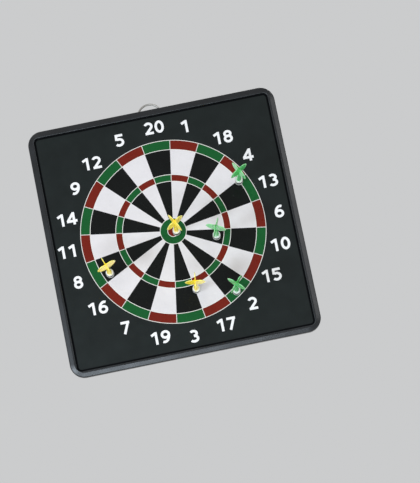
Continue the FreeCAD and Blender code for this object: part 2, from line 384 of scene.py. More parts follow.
MATERIALS = {
    "field": mottled("field_ink", tint(18, 24, 23), 0.16, (0.36, 0.46), specular_ior_level=0.2),
    "black": mottled("black_ink", tint(13, 15, 14), 0.12, (0.20, 0.30), specular_ior_level=0.15),
    # Near-black ink with little gloss, for the band of painted shade just inside the rim
    "painted_shade": mottled("painted_shade_ink", tint(5, 6, 8), 0.12, (0.5, 0.6), specular_ior_level=0.05),
    "white": ink("white_ink", tint(213, 207, 207), 0.03),
    "green": ink("green_ink", tint(11, 81, 35)),
    "red": ink("red_ink", tint(107, 24, 9)),
    "cream": ink("cream_ink", tint(226, 221, 214), 0.03),
    "numeral": ink("numeral_ink", tint(232, 229, 228), 0.02),
    "grass": grass(),
    "sky": sky(),
    "crowd": crowd(),
    "brick": ink("brick_ink", tint(112, 52, 40), 0.2),
    "dirt": ink("dirt_ink", tint(196, 136, 62), 0.10),
    "orange": ink("orange_ink", tint(226, 84, 40)),
    "banner": ink("banner_ink", tint(206, 30, 38)),
    "shadow": ink("shadow_ink", tint(24, 40, 30)),
    "ball": ink("ball_ink", tint(232, 232, 236), 0.03),
    "shade": ink("shade_ink", tint(196, 198, 208), 0.03),
    "stitch": ink("stitch_ink", tint(206, 120, 116)),
}
FRAME_PLASTIC = frame_plastic()
STEEL = metal("sheet_steel", tint(176, 178, 180), (0.28, 0.5), (1.0, 1.0, 0.03), 900.0)
NICKEL_WIRE = metal("nickel_wire", tint(176, 172, 166), (0.34, 0.44), (0.3, 1.0, 1.0), 1600.0)
NICKEL_PLATE = metal("nickel_plate", tint(246, 246, 244), (0.40, 0.52), (1.0, 0.2, 1.0), 1500.0)
CORE_BOARD = mottled("core_board", tint(150, 128, 98), 0.25, (0.85, 0.95), 120.0, 900.0, 0.0001)
HOLDER_PLASTIC = mottled("holder_plastic", tint(22, 22, 23), 0.2, (0.42, 0.55),
                         90.0, 2200.0, 0.00004)
# The last value of each is the strength of the painted glow
BARRELS = {
    "yellow": dart_plastic("yellow_barrel", tint(244, 216, 48), tint(246, 238, 130), 0.24),
    "green": dart_plastic("green_barrel", tint(92, 190, 112), tint(164, 220, 174), 0.20),
}
FLIGHTS = {
    "yellow": dart_plastic("yellow_flight", tint(246, 222, 44), tint(246, 238, 124), 0.28),
    "green": dart_plastic("green_flight", tint(74, 186, 96), tint(148, 218, 158), 0.28),
}


def paint(node, material):
    """Gives a CAD node one material."""
    part = frame["nodes"][node]
    if not part.material_slots:
        part.data.materials.append(material)
    for slot in part.material_slots:
        slot.material = material


def soften(node, width):
    """Rounds a CAD node's sharp edges over a small width, given in metres."""
    modifier = frame["nodes"][node].modifiers.new("soft_edges", "BEVEL")
    modifier.width = width
    modifier.segments = 3
    modifier.limit_method = "ANGLE"
    modifier.angle_limit = math.radians(30)
    modifier.harden_normals = True


# -------------------------------- flat print

def face_matrix(surface_y, outward):
    """From a face's own millimetres (right, up, out) to the row frame."""
    turn = Matrix(((-outward, 0, 0), (0, 0, outward), (0, 1, 0))).to_4x4()
    place = Matrix.Translation((BOARD_CENTRE.x, surface_y, BOARD_CENTRE.z))
    return place @ turn @ Matrix.Scale(MM, 4)


DART_FACE = face_matrix(DART_FACE_Y, -1)
BACK_FACE = face_matrix(BACK_FACE_Y, 1)


def circle_point(centre, radius_u, radius_v, degrees):
    angle = math.radians(degrees)
    return (centre[0] + radius_u * math.cos(angle), centre[1] + radius_v * math.sin(angle))


def arc(centre, radius_u, radius_v, start, end, step=ARC_STEP):
    """Points of an ellipse's arc, from start to end degrees, anticlockwise from the right."""
    count = max(2, math.ceil(abs(end - start) / step))
    return [circle_point(centre, radius_u, radius_v, start + (end - start) * index / count)
            for index in range(count + 1)]


def ellipse(centre, radius_u, radius_v, step=ARC_STEP):
    return arc(centre, radius_u, radius_v, 0, 360, step)[:-1]


def add_fill(mesh, outline, height):
    """A thin solid over one closed outline."""
    low = [mesh.verts.new((u, v, -INK_ROOT_MM)) for u, v in outline]
    high = [mesh.verts.new((u, v, height)) for u, v in outline]
    mesh.faces.new(high)
    mesh.faces.new(low[::-1])
    for index, corner in enumerate(low):
        following = (index + 1) % len(low)
        mesh.faces.new((corner, low[following], high[following], high[index]))


def add_band(mesh, left, right, height, closed=False):
    """A thin solid between two lines of equally many points, such as a stroke or a ring."""
    count = len(left)
    rows = [[mesh.verts.new((u, v, z)) for u, v in side]
            for z in (-INK_ROOT_MM, height) for side in (left, right)]
    low_left, low_right, high_left, high_right = rows
    for index in range(count if closed else count - 1):
        after = (index + 1) % count
        for first, second in ((high_left, high_right), (low_right, low_left),
                              (low_left, high_left), (high_right, low_right)):
            mesh.faces.new((first[index], second[index], second[after], first[after]))
    if not closed:
        for end in (0, count - 1):
            mesh.faces.new((low_left[end], high_left[end], high_right[end], low_right[end]))


def stroke_sides(points, width, closed=False):
    """The two sides of a stroke of a given width along a line, mitred at its corners."""
    left = []
    right = []
    count = len(points)
    for index, point in enumerate(points):
        before = points[index - 1] if closed or index else None
        after = points[(index + 1) % count] if closed or index < count - 1 else None
        here = Vector(point)
        runs = []
        if before is not None:
            runs.append((here - Vector(before)).normalized())
        if after is not None:
            runs.append((Vector(after) - here).normalized())
        along = sum(runs, Vector((0, 0))).normalized()
        normal = Vector((-along.y, along.x))
        reach = width / 2 / max(LEAST_MITRE, abs(along.dot(runs[0])))
        left.append(tuple(here + normal * reach))
        right.append(tuple(here - normal * reach))
    return left, right


def print_piece(name, place, material, slot, fills=(), bands=(), strokes=()):
    """One printed colour: closed thin solids that ride on the board.

    fills are (outline, level), bands (left, right, level) and strokes (points, width, level),
    with True after the level where a band or stroke is closed. A higher level is printed later."""
    mesh = bmesh.new()
    for outline, level in fills:
        add_fill(mesh, outline, level * INK_MM)
    for left, right, level, *closed in bands:
        add_band(mesh, left, right, level * INK_MM, *closed)
    for points, width, level, *closed in strokes:
        add_band(mesh, *stroke_sides(points, width, *closed), level * INK_MM, *closed)
    bmesh.ops.recalc_face_normals(mesh, faces=mesh.faces)
    finished(name, mesh, place, material, "board")


def finished(name, mesh, place, material, body):
    """Turns a bmesh into a named piece in the row frame that rides on a body."""
    data = bpy.data.meshes.new(name)
    mesh.to_mesh(data)
    mesh.free()
    data.transform(place)
    data.materials.append(material)
    piece = bpy.data.objects.new(name, data)
    bpy.context.scene.collection.objects.link(piece)
    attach(piece, body)
    return piece


# -------------------------------- numerals

def digit_strokes():
    """Each digit as strokes about its middle: (points, closed), in millimetres at full height."""
    half = DIGIT_HEIGHT_MM / 2
    bar = half - DIGIT_STROKE_MM / 2
    wide = (DIGIT_WIDTH_MM - DIGIT_STROKE_MM) / 2
    low_bowl = ellipse((0, -bar + 3.6), wide, 3.7)
    long_curve = arc((2.0, -bar + 3.6), wide + 2.0, 2 * bar - 3.6, 70, 180)
    return {
        "0": [(ellipse((0, 0), wide, bar + 0.1), True)],
        "1": [([(1.6, half), (1.6, -half)], False),
              ([(1.4, half - 1.4), (-4.3, half - 4.0)], False)],
        "2": [(arc((-0.3, bar - 3.5), wide - 0.1, 3.6, 158, -36)
               + [(-wide + 0.5, -bar - 0.1)], False),
              ([(-wide - 1.0, -bar), (wide + 1.2, -bar)], False)],
        "3": [(arc((-0.6, bar - 2.9), wide - 0.3, 3.0, 142, -90), False),
              (arc((-0.6, -bar + 3.3), wide + 0.3, 3.4, 90, -146), False)],
        "4": [([(2.6, half), (2.6, -half)], False),
              ([(-wide - 2.3, -3.2), (wide + 2.4, -3.2)], False),
              ([(2.2, half - 1.3), (-5.2, -2.6)], False)],
        "5": [([(-wide, bar), (wide + 0.6, bar)], False),
              ([(-wide + 1.0, half - 0.3), (-wide + 0.6, 0.2)], False),
              (arc((-0.5, -bar + 3.8), wide + 0.4, 3.9, 122, -142), False)],
        "6": [(low_bowl, True), (long_curve, False)],
        "7": [([(-wide - 1.2, bar), (wide + 1.2, bar)], False),
              ([(wide - 0.1, bar + 1.0), (-2.3, -half)], False)],
        "8": [(ellipse((0, bar - 2.9), wide - 0.6, 3.0), True),
              (ellipse((0, -bar + 3.4), wide - 0.1, 3.5), True)],
        "9": [(turned_over(low_bowl), True), (turned_over(long_curve), False)],
    }


def turned_over(points):
    """A line turned half round about the middle."""
    return [(-u, -v) for u, v in points]


def union(first, second):
    """The first mesh object grown by the second, which is then removed."""
    modifier = first.modifiers.new("union", "BOOLEAN")
    modifier.operation = "UNION"
    modifier.solver = "EXACT"
    modifier.object = second
    bpy.context.view_layer.update()
    evaluated = first.evaluated_get(bpy.context.evaluated_depsgraph_get())
    data = bpy.data.meshes.new_from_object(evaluated)
    first.modifiers.remove(modifier)
    first.data = data
    bpy.data.objects.remove(second)


def digit_meshes():
    """One mesh per digit, its strokes joined into one outline."""
    meshes = {}
    for digit, strokes in digit_strokes().items():
        parts = []
        for points, closed in strokes:
            mesh = bmesh.new()
            sides = stroke_sides(points, DIGIT_STROKE_MM, closed)
            add_band(mesh, *sides, 1.0, closed)
            bmesh.ops.recalc_face_normals(mesh, faces=mesh.faces)
            data = bpy.data.meshes.new("digit_" + digit)
            mesh.to_mesh(data)
            mesh.free()
            part = bpy.data.objects.new("digit_part", data)
            bpy.context.scene.collection.objects.link(part)
            parts.append(part)
        for part in parts[1:]:
            union(parts[0], part)
        meshes[digit] = parts[0].data
        bpy.data.objects.remove(parts[0])
    return meshes


DIGITS = digit_meshes()


def add_number(mesh, text, centre, scale, level):
    """Adds a number's digits, side by side about a centre."""
    for index, digit in enumerate(text):
        before = len(mesh.verts)
        mesh.from_mesh(DIGITS[digit])
        mesh.verts.ensure_lookup_table()
        middle = DIGIT_PITCH_MM * (index - (len(text) - 1) / 2)
        for vertex in mesh.verts[before:]:
            vertex.co.x = centre[0] + (vertex.co.x + middle) * scale
            vertex.co.y = centre[1] + vertex.co.y * scale
            vertex.co.z = level * INK_MM if vertex.co.z > 0 else -INK_ROOT_MM


def number_piece(name, place, material, numbers):
    """Printed numbers as one piece: numbers are (text, centre, scale, level)."""
    mesh = bmesh.new()
    for text, centre, scale, level in numbers:
        add_number(mesh, text, centre, scale, level)
    finished(name, mesh, place, material, "board")


# -------------------------------- dart face

def sector(inner, outer, start, end):
    """The two arcs of a sector of a ring."""
    return [arc((0, 0), radius, radius, start, end, FINE_STEP) for radius in (inner, outer)]


def rounded_square(half, corner):
    """A square about the middle with round corners, from its half side and its corner radius."""
    flat = half - corner
    points = []
    for quarter, (side_u, side_v) in enumerate(((1, 1), (-1, 1), (-1, -1), (1, -1))):
        start = 90 * quarter
        points += arc((side_u * flat, side_v * flat), corner, corner, start, start + 90, CORNER_STEP)
    return points


def make_dart_face():
    slot = "dart_face_print"
    # Painted shade: a dark band just inside the rim's opening, where the lip's shadow falls
    painted_shade = (rounded_square(OPENING_HALF_MM - PAINTED_SHADE_MM, OPENING_CORNER_MM - PAINTED_SHADE_MM),
              rounded_square(OPENING_HALF_MM, OPENING_CORNER_MM), PAINTED_SHADE_LEVEL, True)
    print_piece("dart_face_painted_shade", DART_FACE, MATERIALS["painted_shade"], slot, bands=[painted_shade])
    bed_rows = ((BULL_OUTER_MM, TRIPLE_INNER_MM), (TRIPLE_OUTER_MM, DOUBLE_INNER_MM))
    ring_rows = ((TRIPLE_INNER_MM, TRIPLE_OUTER_MM), (DOUBLE_INNER_MM, SCORING_RADIUS_MM))
    inks = {"black": [], "white": [], "green": [], "red": []}
    spokes = []
    for index in range(len(NUMBERS)):
        middle = 90 - SECTOR_DEGREES * index
        start = middle - SECTOR_DEGREES / 2
        end = middle + SECTOR_DEGREES / 2
        bed, ring = ("black", "green") if index % 2 == 0 else ("white", "red")
        for inner, outer in bed_rows:
            inks[bed].append((*sector(inner, outer, start, end), BED_LEVEL))
        for inner, outer in ring_rows:
            inks[ring].append((*sector(inner, outer, start, end), BED_LEVEL))
            ends = [circle_point((0, 0), radius, radius, start) for radius in (inner, outer)]
            spokes.append((ends, LINE_MM, SPOKE_LEVEL))
    inks["green"].append((*sector(BULL_INNER_MM, BULL_OUTER_MM, 0, 360), BED_LEVEL))
    bull = [(ellipse((0, 0), BULL_INNER_MM, BULL_INNER_MM), BULL_LEVEL)]
    for colour, bands in inks.items():
        fills = bull if colour == "red" else []
        print_piece("dart_face_" + colour, DART_FACE, MATERIALS[colour], slot, fills, bands)
    radii = (SCORING_RADIUS_MM, DOUBLE_INNER_MM, TRIPLE_OUTER_MM, TRIPLE_INNER_MM,
             BULL_OUTER_MM, BULL_INNER_MM)
    rings = [(ellipse((0, 0), radius, radius, FINE_STEP), LINE_MM, RING_LEVEL, True)
             for radius in radii]
    print_piece("dart_face_lines", DART_FACE, MATERIALS["cream"], slot, strokes=spokes + rings)
    numbers = []
    for index, number in enumerate(NUMBERS):
        angle = 90 - SECTOR_DEGREES * index - NUMBER_TURNS.get(number, 0.0)
        centre = circle_point((0, 0), NUMBER_RADIUS_MM, NUMBER_RADIUS_MM, angle)
        numbers.append((str(number), centre, 1.0, NUMERAL_LEVEL))
    number_piece("dart_face_numerals", DART_FACE, MATERIALS["numeral"], numbers)


# -------------------------------- baseball face

# Places are shares of the face's side, as (across from the left, down from the top), and
# radii, widths and heights without _MM are shares of it too.

# Lines right across the face, as (down at the sides, down in the middle)
FACE_TOP = (0.0, 0.0)
CROWD_TOP = (0.27, 0.245)
WALL_TOP = (0.385, 0.34)
WALL_LOW = (0.410, 0.362)
TRACK_LOW = (0.418, 0.369)
ACROSS_STEPS = 24

# Bare ground: the infield, its paths, the round patches and the corners of the face
HOME = (0.5, 0.865)
SECOND = (0.5, 0.555)
THIRD = (0.205, 0.665)
INFIELD_CENTRE = (0.5, 0.70)
INFIELD_RADII = (0.375, 0.205)
INFIELD_ARC = (15, 165)
PATH_WIDTH = 0.02
HOME_RADII = (0.105, 0.062)
MOUND = (0.5, 0.666)
MOUND_RADII = (0.048, 0.021)
WAITING_CIRCLE = (0.35, 0.817)
WAITING_RADII = (0.032, 0.019)
GROUND_CORNER = [(0.0, 0.78), (0.0, 1.0), (0.235, 1.0)]
CORNER_EDGE = [(-0.004, 0.776), (0.239, 1.004)]
CORNER_EDGE_MM = 2.6
FOUL_LINE = [(0.0, 0.545), (0.14, 0.625)]
FOUL_LINE_MM = 1.0

# White bases and home plate, with their numbers and the shadows beside them
BASES = [((0.5, 0.53), "2"), ((0.177, 0.647), "3"), ((0.823, 0.647), "1")]
BASE_WIDE = 0.088
BASE_TALL = 0.036
BASE_SHADOW_MM = (0.4, -0.8)
BASE_SHADOW_GROW_MM = 1.2
BASE_SIDE_GROW = 1.6
PLATE_TOP = 0.038
PLATE_SHOULDER = -0.02
PLATE_TIP = -0.075
PLATE_SHADOW_GROW_MM = 1.0
PLATE_TIP_GROW = 1.2
PLATE_NUMBER = "4"
PLATE_NUMBER_RISE_MM = 1.5

# Balls, as (across from the middle, down, number), each on both sides unless in the middle
BALLS = [
    (0.37, 0.18, "4"), (0.0, 0.26, "3"), (0.217, 0.31, "0"), (0.37, 0.36, "2"),
    (0.0, 0.416, "0"), (0.165, 0.459, "1"), (0.33, 0.519, "0"),
]
BALL_RADIUS_MM = FIELD_SIDE_MM * 0.06
BALL_SHADOW_MM = (1.3, -1.8)
# Shares of a ball's radius: its shading's arcs, and its seams' distance and radii
SHADE_OUTER = 0.99
SHADE_INNER = 0.98
SHADE_SHIFT = 0.16
SHADE_ARC = (-120, 30)
SEAM_DISTANCE = 1.15
SEAM_RADII = (0.72, 0.85)
SEAM_HALF_DEGREES = 62
SEAM_STEP = 6
SEAM_MM = 0.5
STITCH_MM = 0.35
STITCH_REACH_MM = (1.1, 0.5)

# Banner and labels, with stars in place of words
BANNER_CENTRE = (0.5, 0.93)
BANNER_TOP_RADII = (0.92, 0.82)
BANNER_LOW_RADII = (0.90, 0.72)
BANNER_ARC = (72.5, 107.5)
BANNER_EDGE_MM = 1.0
BANNER_STARS = 5
BANNER_STAR_RADII = (0.91, 0.77)
BANNER_STAR_DEGREES = 6.6
BANNER_STAR_SIZE = 0.027
LABEL = [(0.065, 0.065), (0.262, 0.048), (0.264, 0.080), (0.067, 0.098)]
LABEL_STARS = (0.214, 0.164, 0.114)
LABEL_STAR_DOWN = 0.073
LABEL_STAR_SIZE = 0.010
STAR_WAIST = 0.42

# Players, as (across, down, size, way it faces, with a bat)
PLAYERS = [
    (0.075, 0.625, 0.031, 1, False), (0.925, 0.625, 0.031, -1, False),
    (0.5, 0.642, 0.031, 1, False), (0.400, 0.908, 0.040, 1, False),
    (0.600, 0.900, 0.042, -1, True),
]

# Sizes of the numbers, as shares of those on the dart face
BALL_NUMBER_SCALE = 0.52
BASE_NUMBER_SCALE = 0.36
PLATE_NUMBER_SCALE = 0.62

# Order of printing, lowest first
GROUND, PATH, PATCH, DETAIL, SHADOW, BALL, SHADING, SEAM, STITCH, NUMBER, PLAYER = (
    1, 1.5, 2, 3, 4, 5, 6, 7, 8, 9, 10)
LIMB_STEP = 0.25


def on_field(across, down):
    """A point of the baseball face, from shares of its side measured from the top left."""
    return ((across - 0.5) * FIELD_SIDE_MM, (0.5 - down) * FIELD_SIDE_MM)


def all_on_field(places):
    return [on_field(across, down) for across, down in places]


def field_arc(centre, radii, span, step=ARC_STEP):
    """An arc of the baseball face, from shares of its side."""
    return arc(on_field(*centre), FIELD_SIDE_MM * radii[0], FIELD_SIDE_MM * radii[1], *span, step)


def field_oval(centre, radii):
    return ellipse(on_field(*centre), FIELD_SIDE_MM * radii[0], FIELD_SIDE_MM * radii[1])


def across_face(down_side, down_middle):
    """A line across the whole face that may rise in the middle."""
    points = []
    for index in range(ACROSS_STEPS + 1):
        across = index / ACROSS_STEPS
        rise = 1 - (2 * across - 1) ** 2
        points.append(on_field(across, down_side + (down_middle - down_side) * rise))
    return points


def mirrored(points):
    return [(-u, v) for u, v in points]


def on_both_sides(points):
    return [points, mirrored(points)]


def field_piece(name, colour, **shapes):
    print_piece("baseball_" + name, BACK_FACE, MATERIALS[colour], "baseball_face_print", **shapes)


def print_background():
    """Sky, stand and wall, in bands right across the face."""
    top, crowd_top, wall_top, wall_low = [
        across_face(*line) for line in (FACE_TOP, CROWD_TOP, WALL_TOP, WALL_LOW)]
    field_piece("sky", "sky", bands=[(top, crowd_top, GROUND)])
    field_piece("stand", "crowd", bands=[(crowd_top, wall_top, GROUND)])
    field_piece("wall", "brick", bands=[(wall_top, wall_low, GROUND)])


def print_ground():
    """Bare ground: the track by the wall, the infield, its paths, patches and corners."""
    second = on_field(*SECOND)
    third = on_field(*THIRD)
    first = mirrored([third])[0]
    infield = field_arc(INFIELD_CENTRE, INFIELD_RADII, INFIELD_ARC) + [third, second, first]
    waiting = on_both_sides(field_oval(WAITING_CIRCLE, WAITING_RADII))
    patches = [(field_oval(HOME, HOME_RADII), PATCH), (field_oval(MOUND, MOUND_RADII), DETAIL)]
    patches += [(outline, DETAIL) for outline in waiting]
    corners = [(corner, GROUND) for corner in on_both_sides(all_on_field(GROUND_CORNER))]
    track = (across_face(*WALL_LOW), across_face(*TRACK_LOW), PATCH)
    paths = [([base, on_field(*HOME)], FIELD_SIDE_MM * PATH_WIDTH, PATH)
             for base in (first, third)]
    field_piece("dirt", "dirt", bands=[track], strokes=paths,
                fills=patches + [(infield, GROUND)] + corners)
    for name, colour, line, width in (("edges", "orange", CORNER_EDGE, CORNER_EDGE_MM),
                                      ("foul_lines", "cream", FOUL_LINE, FOUL_LINE_MM)):
        lines = on_both_sides(all_on_field(line))
        field_piece(name, colour, strokes=[(points, width, DETAIL) for points in lines])


def base_outline(centre, grow=0.0):
    """A base seen at a slant, grown by some millimetres."""
    wide = FIELD_SIDE_MM * BASE_WIDE + grow * BASE_SIDE_GROW
    tall = FIELD_SIDE_MM * BASE_TALL + grow
    u, v = centre
    return [(u - wide, v), (u, v - tall), (u + wide, v), (u, v + tall)]


def plate_outline(grow=0.0):
    """Home plate seen at a slant, grown by some millimetres."""
    middle = on_field(*HOME)[1]
    wide = FIELD_SIDE_MM * BASE_WIDE + grow
    top = middle + FIELD_SIDE_MM * PLATE_TOP + grow
    shoulder = middle + FIELD_SIDE_MM * PLATE_SHOULDER
    tip = middle + FIELD_SIDE_MM * PLATE_TIP - grow * PLATE_TIP_GROW
    return [(wide, top), (-wide, top), (-wide, shoulder), (0, tip), (wide, shoulder)]


def shifted(point, offset):
    return (point[0] + offset[0], point[1] + offset[1])


def placed_balls():
    """Every ball as (centre, number)."""
    balls = []
    for across, down, number in BALLS:
        for side in ((-1, 1) if across else (1,)):
            balls.append((on_field(0.5 + side * across, down), number))
    return balls


def ball_stitches(centre):
    """The two seams of a ball and the short stitches across them, as strokes."""
    u, v = centre
    radii = [BALL_RADIUS_MM * share for share in SEAM_RADII]
    strokes = []
    for side, middle in ((-1, 0), (1, 180)):
        seam = arc((u + side * BALL_RADIUS_MM * SEAM_DISTANCE, v), *radii,
                   middle - SEAM_HALF_DEGREES, middle + SEAM_HALF_DEGREES, SEAM_STEP)
        strokes.append((seam, SEAM_MM, SEAM))
        for seam_u, seam_v in seam[1:-1:2]:
            reach_u, reach_v = STITCH_REACH_MM
            ends = [(seam_u - reach_u, seam_v + reach_v * side),
                    (seam_u + reach_u, seam_v - reach_v * side)]
            strokes.append((ends, STITCH_MM, STITCH))
    return strokes


def print_balls(balls):
    """Balls, bases and home plate with their shadows, shading and stitches."""
    radius = BALL_RADIUS_MM
    bases = all_on_field(place for place, _ in BASES)
    shadows = []
    for centre, _ in balls:
        shadows.append(ellipse(shifted(centre, BALL_SHADOW_MM), radius, radius))
    for base in bases:
        shadows.append(base_outline(shifted(base, BASE_SHADOW_MM), BASE_SHADOW_GROW_MM))
    shadows.append(plate_outline(PLATE_SHADOW_GROW_MM))
    field_piece("shadows", "shadow", fills=[(outline, SHADOW) for outline in shadows])
    whites = [ellipse(centre, radius, radius) for centre, _ in balls]
    whites += [base_outline(base) for base in bases] + [plate_outline()]
    field_piece("balls", "ball", fills=[(outline, BALL) for outline in whites])
    shade = []
    stitches = []
    for centre, _ in balls:
        lit = shifted(centre, (-radius * SHADE_SHIFT, radius * SHADE_SHIFT))
        outer = arc(centre, radius * SHADE_OUTER, radius * SHADE_OUTER, *SHADE_ARC)
        inner = arc(lit, radius * SHADE_INNER, radius * SHADE_INNER, *SHADE_ARC)
        shade.append((inner, outer, SHADING))
        stitches += ball_stitches(centre)
    field_piece("ball_shading", "shade", bands=shade)
    field_piece("stitches", "stitch", strokes=stitches)


def print_banner():
    """The banner and the two labels. Returns the banner's top and lower edges."""
    edges = [field_arc(BANNER_CENTRE, radii, BANNER_ARC, FINE_STEP)
             for radii in (BANNER_TOP_RADII, BANNER_LOW_RADII)]
    field_piece("banner", "banner", bands=[(*edges, PATCH)])
    labels = on_both_sides(all_on_field(LABEL))
    field_piece("labels", "orange", fills=[(outline, PATCH) for outline in labels])
    return edges


def print_players():
    strokes = []
    for across, down, size, facing, batting in PLAYERS:
        strokes += player(on_field(across, down), FIELD_SIDE_MM * size, facing, batting)
    field_piece("players", "black", strokes=strokes)


def print_stars():
    stars = []
    arc_centre = on_field(*BANNER_CENTRE)
    radii = [FIELD_SIDE_MM * share for share in BANNER_STAR_RADII]
    for index in range(BANNER_STARS):
        turn = (index - (BANNER_STARS - 1) / 2) * BANNER_STAR_DEGREES
        centre = circle_point(arc_centre, *radii, 90 + turn)
        stars.append((star(centre, FIELD_SIDE_MM * BANNER_STAR_SIZE), DETAIL))
    label_places = all_on_field((across, LABEL_STAR_DOWN) for across in LABEL_STARS)
    for centre in label_places + mirrored(label_places):
        stars.append((star(centre, FIELD_SIDE_MM * LABEL_STAR_SIZE), DETAIL))
    field_piece("stars", "white", fills=stars)


def print_numbers(balls):
    """Numbers on the balls, the bases and home plate."""
    numbers = [(text, centre, BALL_NUMBER_SCALE, NUMBER) for centre, text in balls]
    numbers += [(text, on_field(*place), BASE_NUMBER_SCALE, NUMBER) for place, text in BASES]
    plate_place = shifted(on_field(*HOME), (0, PLATE_NUMBER_RISE_MM))
    numbers.append((PLATE_NUMBER, plate_place, PLATE_NUMBER_SCALE, NUMBER))
    number_piece("baseball_numbers", BACK_FACE, MATERIALS["black"], numbers)


def make_baseball_face():
    print_background()
    print_ground()
    balls = placed_balls()
    print_balls(balls)
    banner_edges = print_banner()
    print_players()
    print_stars()
    outline = [(edge, BANNER_EDGE_MM, DETAIL) for edge in banner_edges]
    field_piece("banner_edges", "cream", strokes=outline)
    print_numbers(balls)


def player(centre, size, facing, batting):
    """A ball player's outline as strokes: trunk, bent legs, arms, head, cap and perhaps a bat."""
    def at(u, v):
        return (centre[0] + facing * u * size, centre[1] + v * size)

    limbs = [
        ([at(0.02, 0.62), at(-0.08, 0.20)], 0.42),
        ([at(-0.12, 0.16), at(0.22, -0.28), at(0.10, -0.95)], 0.24),
        ([at(-0.08, 0.16), at(-0.50, -0.30), at(-0.62, -0.92)], 0.24),
        ([at(0.04, 0.66), at(0.46, 0.38), at(0.62, 0.62)], 0.17),
        ([at(-0.04, 0.66), at(0.20, 0.30), at(0.52, 0.50)], 0.17),
        ([at(0.10, 0.84), at(0.14, 1.10)], 0.28),
        ([at(0.10, 1.06), at(0.42, 1.02)], 0.08),
    ]
    if batting:
        limbs.append(([at(0.50, 0.56), at(-0.10, 1.42)], 0.10))
    return [(line, width * size, PLAYER + LIMB_STEP * order)
            for order, (line, width) in enumerate(limbs)]


def star(centre, radius):
    """A five-pointed star."""
    return [circle_point(centre, radius * size, radius * size, 90 + 36 * index)
            for index, size in enumerate([1.0, STAR_WAIST] * 5)]


# -------------------------------- darts

# A fin's outline from its root end to its tail, as (share of length, share of half span)
FIN_OUTLINE = [
    (0.0, 0.12), (0.05, 0.33), (0.14, 0.59), (0.24, 0.79), (0.34, 0.92), (0.45, 0.985), (0.56, 1.0),
    (0.68, 0.97), (0.80, 0.90), (0.89, 0.79), (0.95, 0.65), (0.985, 0.48), (1.0, 0.32),
]
FINS = 4
FIN_STEPS = 10
FIN_START = 0.04
TAIL_NOTCH = 0.07
END_THINNING = 0.25

# Half thickness of a fin in metres, and where its root ends and its bead lies across it
FIN_ROOT = 0.00062
FIN_WEB = 0.00030
FIN_BEAD = 0.00050
ROOT_REACH = 0.35
BEAD_PLACE = 0.93
BEAD_REACH = 0.09
LEAST_CLOSING = 0.05

# Where across a fin its plastic begins to look paler, and how much paler it is at the tail
PALE_FROM = 0.78
PALE_TAIL = 0.12

# The flight's hub, as (share of its length, share of its radius)
HUB_RADIUS = 0.0014
HUB_LENGTH_SHARE = 0.6
HUB_PROFILE = [(0.0, 0.0), (0.0, 0.9), (0.06, 1.0), (0.5, 0.85), (0.82, 0.55), (0.9, 0.0)]
FLIGHT_SMOOTH_DEGREES = 40

# Rounding of the plated parts' edges, in metres
METAL_ROUND = 0.00015


def fin_thickness(share):
    """Half the fin's thickness: thick root, thin web and a bead along the edge."""
    near_root = max(0.0, 1 - share / ROOT_REACH) ** 2
    near_edge = max(0.0, 1 - abs(share - BEAD_PLACE) / BEAD_REACH)
    closing = math.sqrt(max(0.0, 1 - max(0.0, (share - BEAD_PLACE) / (1 - BEAD_PLACE)) ** 2))
    thickness = FIN_WEB + (FIN_ROOT - FIN_WEB) * near_root + (FIN_BEAD - FIN_WEB) * near_edge
    return thickness * max(closing, LEAST_CLOSING)


def add_fin(mesh, axis, angle, start_y, length, half_span):
    """One closed fin that stands out from a dart's axis at an angle."""
    pale = mesh.verts.layers.float["pale"]
    outward = Vector((math.cos(angle), 0, math.sin(angle)))
    across = Vector((-math.sin(angle), 0, math.cos(angle)))
    last = len(FIN_OUTLINE) - 1
    rows = {}
    for side in (-1, 1):
        for step, (along, reach) in enumerate(FIN_OUTLINE):
            shut = END_THINNING if step in (0, last) else 1.0
            for index in range(FIN_STEPS + 1):
                share = index / FIN_STEPS
                notch = TAIL_NOTCH * (1 - share) if step == last else 0.0
                radius = half_span * reach * (FIN_START + (1 - FIN_START) * share)
                place = axis + outward * radius + across * side * fin_thickness(share) * shut
                place.y = start_y - length * along * (1 - notch)
                vertex = mesh.verts.new(place)
                vertex[pale] = along * PALE_TAIL
                if share > PALE_FROM:
                    vertex[pale] = (share - PALE_FROM) / (1 - PALE_FROM)
                rows[side, step, index] = vertex
    for step in range(last):
        for index in range(FIN_STEPS):
            for side in (-1, 1):
                mesh.faces.new([rows[side, step + a, index + b] for a, b in
                                ((0, 0), (0, 1), (1, 1), (1, 0))])
        for index in (0, FIN_STEPS):
            mesh.faces.new([rows[side, step + a, index] for side, a in
                            ((-1, 0), (-1, 1), (1, 1), (1, 0))])
    for step in (0, last):
        for index in range(FIN_STEPS):
            mesh.faces.new([rows[side, step, index + b] for side, b in
                            ((-1, 0), (-1, 1), (1, 1), (1, 0))])


def add_lathe(mesh, axis, start_y, profile, segments=48):
    """A round solid about a dart's axis from (distance outwards, radius) points, ends closed."""
    rings = []
    for distance, radius in profile:
        ring = []
        for index in range(segments if radius > 0 else 1):
            angle = 2 * math.pi * index / segments
            place = axis + Vector((radius * math.cos(angle), 0, radius * math.sin(angle)))
            place.y = start_y - distance
            ring.append(mesh.verts.new(place))
        rings.append(ring)
    for first, second in zip(rings, rings[1:]):
        for index in range(segments):
            after = (index + 1) % segments
            corners = []
            for ring, spot in ((first, index), (first, after), (second, after), (second, index)):
                corner = ring[spot % len(ring)]
                if corner not in corners:
                    corners.append(corner)
            mesh.faces.new(corners)


def smooth(piece, degrees):
    """Smooth shading, with edges sharper than an angle left crisp."""
    for polygon in piece.data.polygons:
        polygon.use_smooth = True
    piece.data.set_sharp_from_angle(angle=math.radians(degrees))


